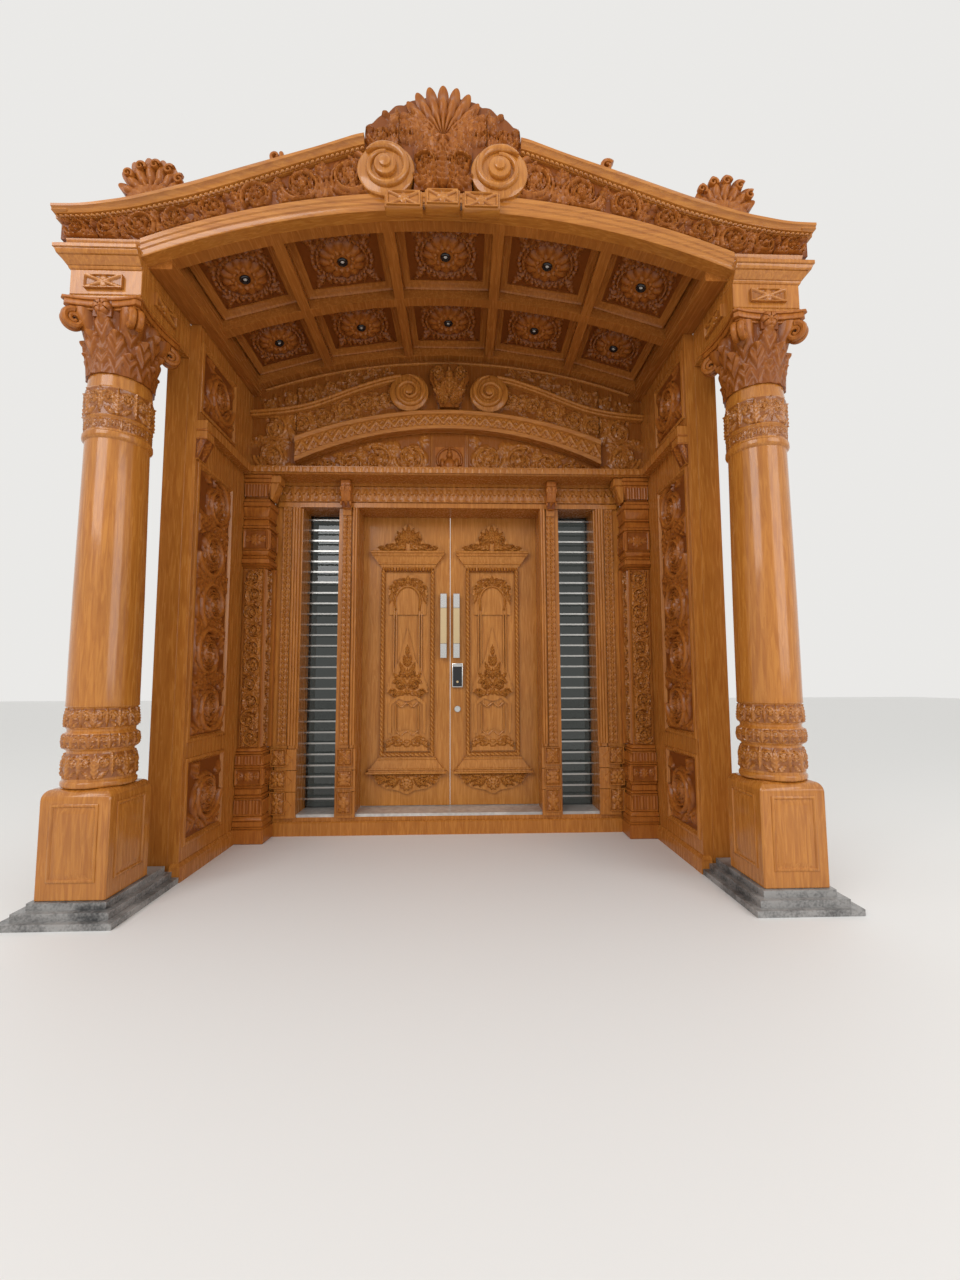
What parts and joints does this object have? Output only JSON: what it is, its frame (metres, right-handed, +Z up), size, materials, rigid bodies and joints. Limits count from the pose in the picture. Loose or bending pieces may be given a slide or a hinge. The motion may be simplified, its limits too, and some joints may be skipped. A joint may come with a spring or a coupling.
{
  "type": "carved temple door",
  "caption": "Carved double door in a wooden portico with barred sidelights, panelled side linings, coffered vault, round columns and a swept carved cornice.",
  "frame": {"origin": "on the porch floor, at the middle of the doorway, in the face of the door wall", "axes": "+X along the wall to the right as seen from the porch, +Y into the house, +Z up"},
  "size_m": [3.886, 1.732, 4.185],
  "materials": {
    "leaf_teak": "varnished, carved, warm orange-brown",
    "frame_teak": "varnished, carved, warm brown",
    "carved_mahogany": "varnished, carved, dark red-brown",
    "lining_teak": "varnished panelling with carved fields",
    "column_teak": "turned and glossy",
    "vault_teak": "varnished ribs and boards",
    "granite": "grey speckled, polished",
    "marble": "pale, polished",
    "black_steel": "dark painted bar",
    "steel": "satin",
    "champagne": "champagne gold, satin",
    "black_gloss": "black, glossy",
    "glass": "clear",
    "lamp_white": "white diffuser"
  },
  "bodies": {
    "portico": {"cornice": "carved_mahogany", "crest": "carved_mahogany", "downlights": "lamp_white", "frame_hinges": "steel", "frieze": "carved_mahogany", "front_arch": "carved_mahogany", "front_volutes": "carved_mahogany", "header_beam": "frame_teak", "left_capital": "carved_mahogany", "left_column_base": "column_teak", "left_column_shaft": "column_teak", "left_entablature": "carved_mahogany", "left_jamb": "frame_teak", "left_lining": "lining_teak", "left_mullion": "frame_teak", "left_pedestal": "column_teak", "left_pilaster": "carved_mahogany", "left_plinth": "granite", "left_side_beam": "frame_teak", "lintel": "frame_teak", "lunette_arch": "carved_mahogany", "lunette_panel": "frame_teak", "marble_sills": "marble", "medallions": "vault_teak", "right_capital": "carved_mahogany", "right_column_base": "column_teak", "right_column_shaft": "column_teak", "right_entablature": "carved_mahogany", "right_jamb": "frame_teak", "right_lining": "lining_teak", "right_mullion": "frame_teak", "right_pedestal": "column_teak", "right_pilaster": "carved_mahogany", "right_plinth": "granite", "right_side_beam": "frame_teak", "seated_figure": "carved_mahogany", "sidelight_bars": "black_steel", "sidelight_glass": "glass", "threshold_base": "frame_teak", "tympanum_cornice": "carved_mahogany", "tympanum_panel": "frame_teak", "vault_arches": "vault_teak", "vault_panels": "vault_teak", "vault_ribs": "vault_teak"},
    "left_leaf": {"left_leaf": "leaf_teak", "left_leaf_hinges": "steel", "left_handle": "champagne"},
    "right_leaf": {"right_leaf": "leaf_teak", "right_leaf_hinges": "steel", "right_handle": "champagne", "lock_case": "black_gloss", "key_cylinder": "steel"},
    "lock_bolt": {"lock_bolt": "steel"},
    "lock_turn": {"lock_turn": "steel"},
    "lock_button": {"lock_button": "champagne"},
    "key_bolt": {"key_bolt": "steel"},
    "key_turn": {"key_turn": "steel"},
    "top_bolt": {"top_bolt": "steel"},
    "bottom_bolt": {"bottom_bolt": "steel"}
  },
  "joints": [
    {"name": "left_leaf_hinge", "type": "hinge", "parent": "portico", "child": "left_leaf", "pos_m": [-0.6885, 0.276, 1.26], "axis": [0, 0, 1], "range_deg": [0, 95]},
    {"name": "right_leaf_hinge", "type": "hinge", "parent": "portico", "child": "right_leaf", "pos_m": [0.6885, 0.276, 1.26], "axis": [0, 0, -1], "range_deg": [0, 95]},
    {"name": "lock_turn_hinge", "type": "hinge", "parent": "right_leaf", "child": "lock_turn", "pos_m": [0.057, 0.27, 1.13], "axis": [0, 1, 0], "range_deg": [0, 90]},
    {"name": "lock_bolt_slide", "type": "slide", "parent": "right_leaf", "child": "lock_bolt", "axis": [-1, 0, 0], "range_m": [0, 0.02]},
    {"name": "key_turn_hinge", "type": "hinge", "parent": "right_leaf", "child": "key_turn", "pos_m": [0.057, 0.27, 0.872], "axis": [0, 1, 0], "range_deg": [0, 90]},
    {"name": "key_bolt_slide", "type": "slide", "parent": "right_leaf", "child": "key_bolt", "axis": [-1, 0, 0], "range_m": [0, 0.02]},
    {"name": "lock_button_slide", "type": "slide", "parent": "right_leaf", "child": "lock_button", "axis": [0, 1, 0], "range_m": [0, 0.0015], "stiffness_N_per_m": 400, "springref_m": -0.001},
    {"name": "top_bolt_slide", "type": "slide", "parent": "left_leaf", "child": "top_bolt", "axis": [0, 0, 1], "range_m": [0, 0.025]},
    {"name": "bottom_bolt_slide", "type": "slide", "parent": "left_leaf", "child": "bottom_bolt", "axis": [0, 0, -1], "range_m": [0, 0.025]}
  ],
  "couplings": [
    {"joint": "lock_turn_hinge", "follows": "lock_bolt_slide", "rad_per_m": 78.5},
    {"joint": "key_turn_hinge", "follows": "key_bolt_slide", "rad_per_m": 78.5}
  ]
}
